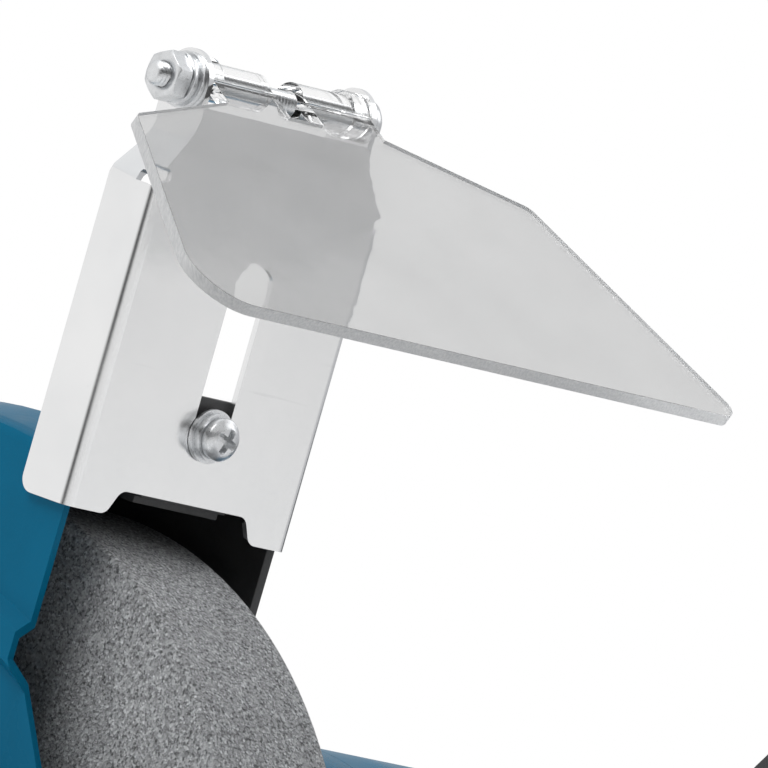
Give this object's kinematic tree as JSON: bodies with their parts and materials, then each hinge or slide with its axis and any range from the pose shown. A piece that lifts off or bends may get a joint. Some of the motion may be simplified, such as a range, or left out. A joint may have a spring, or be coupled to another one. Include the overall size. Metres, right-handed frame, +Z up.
{
  "type": "bench grinder",
  "caption": "Double-ended bench grinder: motor on a cast base, guarded abrasive wheels, adjustable tool rests and hinged clear eye shields on slotted brackets.",
  "frame": {"origin": "centre of the four bench bolts, on the bench plane under the rubber feet", "axes": "+X along the spindle to the right, -Y towards the operator, +Z up"},
  "size_m": [0.3644, 0.203, 0.2558],
  "materials": {
    "blue_paint": "smooth gloss petrol-blue enamel with faint orange peel",
    "black_paint": "satin black enamel",
    "bright_steel": "bright nickel-plated sheet, soft reflections",
    "plated_hardware": "bright zinc plate",
    "black_oxide": "black oxide",
    "abrasive": "grey vitrified grit with open pores",
    "clear_plastic": "clear polycarbonate",
    "grey_steel": "ground and plated plate",
    "black_plastic": "fine moulded grain",
    "red_plastic": "semi-gloss",
    "shaft_steel": "ground steel",
    "laminated_steel": "stacked laminations",
    "cast_aluminium": "as cast",
    "flange_steel": "turned steel",
    "blotter_paper": "matt card",
    "copper_winding": "varnished copper wire",
    "galvanised_plate": "galvanised sheet",
    "rubber": "matt black rubber",
    "aluminium_can": "drawn can",
    "white_plastic": "moulded nylon"
  },
  "bodies": {
    "frame": {"base": "blue_paint", "bearing_balls": "shaft_steel", "bearing_outer_rings": "shaft_steel", "bottom_plate": "galvanised_plate", "bottom_plate_screws": "plated_hardware", "capacitor": "aluminium_can", "capacitor_clip": "galvanised_plate", "clamp_nuts": "plated_hardware", "clamp_screws": "plated_hardware", "clamp_washers": "plated_hardware", "cord_gland": "black_plastic", "cover_screws": "plated_hardware", "guard_screws": "plated_hardware", "left_end_bell": "blue_paint", "left_inner_guard": "black_paint", "left_rest_bracket": "black_paint", "left_wheel_cover": "blue_paint", "motor_housing": "blue_paint", "rest_bolts": "plated_hardware", "rest_bracket_screws": "plated_hardware", "right_end_bell": "blue_paint", "right_inner_guard": "black_paint", "right_rest_bracket": "black_paint", "right_wheel_cover": "blue_paint", "rubber_feet": "rubber", "saddle_screws": "plated_hardware", "stator_core": "laminated_steel", "stator_windings": "copper_winding", "switch_frame": "black_plastic", "terminal_block": "white_plastic", "tie_bolt_nuts": "plated_hardware", "tie_bolts": "plated_hardware"},
    "rotor": {"spindle_shaft": "shaft_steel", "rotor_core": "laminated_steel", "rotor_end_rings": "cast_aluminium", "bearing_inner_rings": "shaft_steel", "inner_wheel_flanges": "flange_steel", "outer_wheel_flanges": "flange_steel", "wheel_blotters": "blotter_paper", "left_grinding_wheel": "abrasive", "right_grinding_wheel": "abrasive", "left_spindle_nut": "black_oxide", "right_spindle_nut": "black_oxide"},
    "switch_rocker": {"switch_rocker": "red_plastic"},
    "left_bracket": {"left_shield_bracket": "bright_steel", "left_hinge_bolt": "plated_hardware", "left_hinge_nut": "plated_hardware", "left_hinge_washers": "plated_hardware"},
    "left_shield": {"left_eye_shield": "clear_plastic"},
    "left_rest": {"left_tool_rest": "grey_steel"},
    "left_knob": {"left_rest_knob": "black_plastic"},
    "right_bracket": {"right_shield_bracket": "bright_steel", "right_hinge_bolt": "plated_hardware", "right_hinge_nut": "plated_hardware", "right_hinge_washers": "plated_hardware"},
    "right_shield": {"right_eye_shield": "clear_plastic"},
    "right_rest": {"right_tool_rest": "grey_steel"},
    "right_knob": {"right_rest_knob": "black_plastic"}
  },
  "joints": [
    {"name": "rotor_spin", "type": "hinge", "parent": "frame", "child": "rotor", "pos_m": [0, 0, 0.125], "axis": [1, 0, 0], "continuous": true},
    {"name": "left_bracket_slide", "type": "slide", "parent": "frame", "child": "left_bracket", "axis": [0, -0.3827, 0.9239], "range_m": [-0.0065, 0]},
    {"name": "left_shield_tilt", "type": "hinge", "parent": "left_bracket", "child": "left_shield", "pos_m": [-0.127, -0.07082, 0.25077], "axis": [1, 0, 0], "range_deg": [-70, 8]},
    {"name": "left_rest_slide", "type": "slide", "parent": "frame", "child": "left_rest", "axis": [0, -1, 0], "range_m": [0, 0.012]},
    {"name": "left_knob_turn", "type": "hinge", "parent": "frame", "child": "left_knob", "pos_m": [-0.092, -0.1, 0.106], "axis": [1, 0, 0], "range_deg": [-360, 0]},
    {"name": "right_bracket_slide", "type": "slide", "parent": "frame", "child": "right_bracket", "axis": [0, -0.3827, 0.9239], "range_m": [-0.0065, 0]},
    {"name": "right_shield_tilt", "type": "hinge", "parent": "right_bracket", "child": "right_shield", "pos_m": [0.127, -0.07082, 0.25077], "axis": [1, 0, 0], "range_deg": [-70, 8]},
    {"name": "right_rest_slide", "type": "slide", "parent": "frame", "child": "right_rest", "axis": [0, -1, 0], "range_m": [0, 0.012]},
    {"name": "right_knob_turn", "type": "hinge", "parent": "frame", "child": "right_knob", "pos_m": [0.092, -0.1, 0.106], "axis": [1, 0, 0], "range_deg": [0, 360]},
    {"name": "rocker_tilt", "type": "hinge", "parent": "frame", "child": "switch_rocker", "pos_m": [0, -0.06, 0.033], "axis": [1, 0, 0], "range_deg": [-20.6, 0]}
  ]
}
